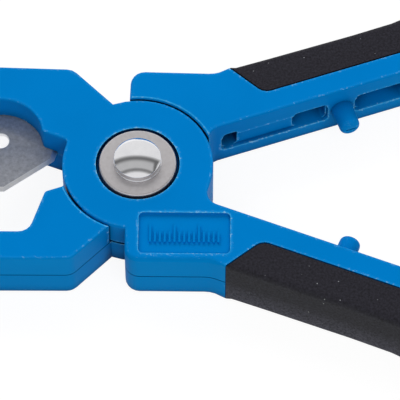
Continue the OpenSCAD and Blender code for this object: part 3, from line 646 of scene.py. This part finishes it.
# A face of the seat's rim lies this near the grip and isn't level
SEAT_NEAR, LEVEL = 0.3 * MM, 0.97


def shade_seat(piece, grip):
    """Gives the rounded rim of a lever's seat, close to this grip, the groove's darker finish:
    painted shade.
    """
    mesh = nodes[grip].data
    skin = BVHTree.FromPolygons([v.co for v in mesh.vertices],
                                [face.vertices for face in mesh.polygons])
    rim = 0
    for face in piece.data.polygons:
        if abs(face.normal.z) < LEVEL and skin.find_nearest(face.center)[3] < SEAT_NEAR:
            face.material_index = 1
            rim += 1
    print(piece.name, rim, "faces round", grip)


EDGE_ROUND = 0.14
blade_side = cast("blade_lever", "moulded_blade_lever", blue_nylon, shaded_seam_nylon, scraped_highlit_nylon)
parting_line(blade_side, 1)
soften(blade_side, EDGE_ROUND, spare=kept_sharp)
shade_seat(blade_side, "lower_grip")
smooth(blade_side)
settle(blade_side, "blade_side", "blue_plastic", "blade_lever")

anvil_side = cast("anvil_lever", "moulded_anvil_lever", blue_nylon, shaded_seam_nylon, scraped_highlit_nylon)
parting_line(anvil_side, -1)
soften(anvil_side, EDGE_ROUND, spare=kept_sharp)
shade_seat(anvil_side, "upper_grip")
smooth(anvil_side)
settle(anvil_side, "anvil_side", "blue_plastic", "anvil_lever")

cover = cast("blade_cover", "moulded_blade_cover", blue_nylon, scraped_highlit_nylon)
soften(cover, EDGE_ROUND)
smooth(cover)
settle(cover, "blade_side", "blue_plastic", "blade_cover")

# %% [markdown]
# ## Rubber grips
# The grips wrap round three sides of the handles. Their rounding is in the CAD part already, so
# they only need joined faces and smooth shading. The rounding next to the nylon, towards the
# tool's middle and at the grip's start, is a rim painted darker, as painted shade.

# %% Grips
# The rim's faces are neither upright nor level, and lean inwards or towards the grip's start
RIM_TILT, RIM_INWARDS, RIM_START = (0.2, 0.95), 0.1, -0.45
for node, body, side in (("lower_grip", "blade_side", 1), ("upper_grip", "anvil_side", -1)):
    grip = cast(node, "rubber_" + node, black_rubber, shaded_rim_rubber)
    edit(grip)
    rim = pick(grip, "faces", lambda face: RIM_TILT[0] < abs(face.normal.z) < RIM_TILT[1] and (
        side * face.normal.y > RIM_INWARDS or face.normal.x < RIM_START))
    grip.active_material_index = 1
    bpy.ops.object.material_slot_assign()
    bpy.ops.object.mode_set(mode="OBJECT")
    print(grip.name, rim, "faces of the rim")
    smooth(grip)
    settle(grip, body, "black_rubber", node)

# %% [markdown]
# ## Rivet and washers
# Round parts are turned: a circle is added at the first place of the profile, and then it is
# extruded and resized from place to place, as a lathe follows its template.

# %% Turned parts
def turned(name, profile, sides=96):
    """A round piece about the pivot from (radius, height) places in millimetres. A profile
    that ends where it began makes a ring; one that starts and ends at no radius is solid."""
    solid = profile[0][0] == 0
    places = profile[1:-1] if solid else profile
    radius, height = places[0]
    bpy.ops.object.select_all(action="DESELECT")
    bpy.ops.mesh.primitive_circle_add(vertices=sides, radius=radius * MM,
                                      location=(0, 0, height * MM))
    piece = bpy.context.active_object
    piece.name = name
    bpy.ops.object.transform_apply(location=True, rotation=True, scale=True)
    edit(piece, "EDGE")
    bpy.ops.mesh.select_all(action="SELECT")
    if solid:
        bpy.ops.mesh.extrude_edges_move()
        bpy.ops.mesh.merge(type="CENTER")
        pick(piece, "edges", lambda edge: edge.is_boundary)
    for (r0, z0), (r1, z1) in zip(places, places[1:]):
        bpy.ops.mesh.extrude_edges_move(TRANSFORM_OT_translate={"value": (0, 0, (z1 - z0) * MM)})
        if r1 != r0:
            bpy.ops.transform.resize(value=(r1 / r0, r1 / r0, 1), center_override=(0, 0, z1 * MM))
    if solid:
        bpy.ops.mesh.extrude_edges_move()
        bpy.ops.mesh.merge(type="CENTER")
    bpy.ops.mesh.select_all(action="SELECT")
    bpy.ops.mesh.remove_doubles(threshold=CUT_NEAR)
    bpy.ops.mesh.normals_make_consistent(inside=False)
    bpy.ops.object.mode_set(mode="OBJECT")
    return piece


def quarter(centre, r, start, steps=5):
    """Places on a quarter round about centre, from the start angle on, in the profile's plane."""
    return [(centre[0] + r * math.cos(math.radians(start + 90 * i / steps)),
             centre[1] + r * math.sin(math.radians(start + 90 * i / steps)))
            for i in range(steps + 1)]


HEAD_R, HEAD_Z, HEAD_TOP = 5.0, 13.8, 17.35
SHANK_R, BEAD_R, BEAD_TOP = 3.0, 0.12, 14.37
FOOT_R, FOOT_RING, FOOT_LOW, FOOT_TOP, FOOT_ROUND = 4.5, 2.4, 0.25, 1.35, 0.3
ROUND_STEPS, CAP_STEPS = 4, 24
# The head is a flat cap of a ball that turns, in a tight round, into a short upright wall.
CAP_R, ROUND_R = 7.76, 0.1
CAP_Z = HEAD_TOP - CAP_R
wall_r = HEAD_R - BEAD_R
ROUND_Z = CAP_Z + math.sqrt((CAP_R - ROUND_R) ** 2 - (wall_r - ROUND_R) ** 2)
cap_end = math.degrees(math.atan2(wall_r - ROUND_R, ROUND_Z - CAP_Z))
edge_round = [(wall_r - ROUND_R + ROUND_R * math.cos(math.radians(a)),
               ROUND_Z + ROUND_R * math.sin(math.radians(a)))
              for a in [(90 - cap_end) * i / ROUND_STEPS for i in range(ROUND_STEPS + 1)]]
cap = [(CAP_R * math.sin(math.radians(a)), CAP_Z + CAP_R * math.cos(math.radians(a)))
       for a in [cap_end * (1 - i / CAP_STEPS) for i in range(1, CAP_STEPS)]]
foot_r = FOOT_R - FOOT_ROUND
rivet = turned("polished_pivot_rivet", [
    (0, FOOT_LOW), (FOOT_RING, FOOT_LOW), (foot_r, FOOT_LOW),
    *quarter((foot_r, FOOT_LOW + FOOT_ROUND), FOOT_ROUND, -90)[1:],
    (FOOT_R, FOOT_TOP), (SHANK_R, FOOT_TOP), (SHANK_R, HEAD_Z), (wall_r, HEAD_Z),
    *quarter((wall_r, HEAD_Z + BEAD_R), BEAD_R, -90)[1:],
    *quarter((wall_r, BEAD_TOP - BEAD_R), BEAD_R, 0), *edge_round, *cap, (0, HEAD_TOP)])
coat(rivet, polished_steel)
smooth(rivet, 40)
settle(rivet, "blade_side", "rivet_steel", "pivot_rivet")


WASHER_IN, WASHER_OUT, RIM = 3.05, 8.05, 0.45
BURR_CUT, CHAMFER = 0.1, 0.15


def washer(name, low, thick, node):
    """A stamped washer: its rim is rolled over at the top and has a small burr-free chamfer."""
    high = low + thick
    profile = [(WASHER_IN, low + BURR_CUT), (WASHER_IN + BURR_CUT, low),
               (WASHER_OUT - CHAMFER, low),
               *quarter((WASHER_OUT - CHAMFER, low + CHAMFER), CHAMFER, -90)[1:],
               (WASHER_OUT, high - RIM), *quarter((WASHER_OUT - RIM, high - RIM), RIM, 0)[1:],
               (WASHER_IN + CHAMFER, high), (WASHER_IN, high - CHAMFER),
               (WASHER_IN, low + BURR_CUT)]
    piece = turned(name, profile)
    coat(piece, plated_steel)
    smooth(piece, 40)
    settle(piece, "blade_side", "washer_steel", node)


washer("plated_front_washer", 12.2, 1.6, "front_washer")
washer("plated_back_washer", 1.35, 1.2, "back_washer")

# %% [markdown]
# ## Blade
# The blade is a five-sided plate of rolled steel with a hole in its middle, ground on both
# sides of every edge. A circle of five points is the plate's outline; its corners are beveled,
# and each face is made by extruding to half the thickness and shrinking by the grind.

# %% Blade
BLADE_MID = Vector((-29.23, 8.88, 6.75)) * MM
BLADE_SIDES, BLADE_R, BLADE_T = 5, 13.0 * MM, 1.0 * MM
BLADE_TURN = math.radians(111.9 + 180) - HALF_OPEN
# The width of the grind, the cut-off corners, and half the flat left at the very edge
GRIND, BLUNT, EDGE_LAND = 0.8 * MM, 1.3 * MM, 0.05 * MM
HOLE_SIDES, HOLE_R, HOLE_REACH, HOLE_ROUND = 64, 1.8 * MM, 1.9 * MM, 0.12 * MM
FLAT = 0.95
bpy.ops.object.select_all(action="DESELECT")
bpy.ops.mesh.primitive_cylinder_add(vertices=BLADE_SIDES, radius=BLADE_R, depth=2 * EDGE_LAND,
                                    end_fill_type="NGON")
blade = bpy.context.active_object
blade.name = "ground_blade"
edit(blade, "EDGE")
pick(blade, "edges", lambda edge: abs(edge.verts[0].co.z - edge.verts[1].co.z) > EDGE_LAND)
bpy.ops.mesh.bevel(offset=BLUNT, segments=1, affect="EDGES")
for way in (1, -1):
    bpy.ops.mesh.select_mode(type="FACE")
    pick(blade, "faces", lambda face: face.normal.z * way > FLAT)
    bpy.ops.mesh.extrude_region_move(TRANSFORM_OT_translate={
        "value": (0, 0, way * (BLADE_T / 2 - EDGE_LAND))})
    inset = 1 - GRIND / (BLADE_R * math.cos(math.pi / BLADE_SIDES))
    bpy.ops.transform.resize(value=(inset, inset, 1), center_override=(0, 0, 0))
bpy.ops.object.mode_set(mode="OBJECT")
bpy.ops.mesh.primitive_cylinder_add(vertices=HOLE_SIDES, radius=HOLE_R, depth=4 * BLADE_T)
punch = bpy.context.active_object
modify(blade, "BOOLEAN", operation="DIFFERENCE", object=punch, solver="EXACT")
bpy.data.objects.remove(punch)
edit(blade, "EDGE")
pick(blade, "edges", lambda edge: all(Vector(v.co[:2]).length < HOLE_REACH and abs(
    v.co.z) > BLADE_T / 3 for v in edge.verts) and abs(
        edge.verts[0].co.z - edge.verts[1].co.z) < EDGE_LAND)
bpy.ops.mesh.bevel(offset=HOLE_ROUND, segments=2, affect="EDGES")
bpy.ops.object.mode_set(mode="OBJECT")
# Circles start at +Y here and at +X in the CAD, so the blade turns back a quarter.
blade.data.transform(Matrix.Translation(BLADE_MID) @ Matrix.Rotation(
    BLADE_TURN - math.pi / 2, 4, "Z"))
coat(blade, rolled_steel, ground_steel)
for face in blade.data.polygons:
    face.material_index = 0 if abs(face.normal.z) > FLAT else 1
only(blade)
bpy.ops.object.shade_smooth_by_angle(angle=math.radians(25))
settle(blade, "blade_side", "blade_steel", "blade")
print("blade box in the CAD", in_mm(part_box("blade")))
print("blade box here", in_mm([pick_end(v.co[i] for v in blade.data.vertices) for i in range(3)]
                              for pick_end in (min, max)))

# %% [markdown]
# ## Small parts
# The screws, the latch and the pins are small, but they show from the back and in the gap of the
# handles. They keep the CAD form, with their edges broken as machined parts have them.

# %% Small parts
SMALL = [("cover_screws", "zinc_cover_screws", zinc_steel, "blade_side", "screw_steel", 0.18),
         ("latch", "oxide_latch", black_oxide, "latch", "latch_steel", 0.25),
         ("latch_pin", "ground_latch_pin", ground_pin, "anvil_side", "pin_steel", 0.2),
         ("catch_pin", "ground_catch_pin", ground_pin, "blade_side", "pin_steel", 0.2)]
for node, name, finish, body, slot, width in SMALL:
    piece = cast(node, name, finish)
    soften(piece, width)
    smooth(piece)
    settle(piece, body, slot, node)

# These two lie hidden between the levers. The CAD nodes stay as they are and only get a finish.
for node, finish in (("pivot_bush", bronze), ("friction_ring", white_acetal)):
    for place in nodes[node].material_slots:
        place.material = finish
    print(node, "in", finish.name)

# %% [markdown]
# ## Return spring
# The spring's upper leg lies in a slot of the blade lever and its lower leg in one of the anvil
# lever. As the tool closes the wire twists between them. Here the piece keeps the CAD form with
# smooth shading, and is not attached to either body.

# %% Spring
spring = cast("return_spring", "drawn_return_spring", drawn_steel)
smooth(spring)
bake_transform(spring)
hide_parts("return_spring")

# %% [markdown]
# ## Sizes
# The finer pieces must not make the tool larger. The box round everything is taken once more
# and printed beside the box of the bare CAD part.

# %% Sizes, and the end
new_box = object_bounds()
print("CAD box", in_mm(cad_box))
print("visual box", in_mm(new_box))
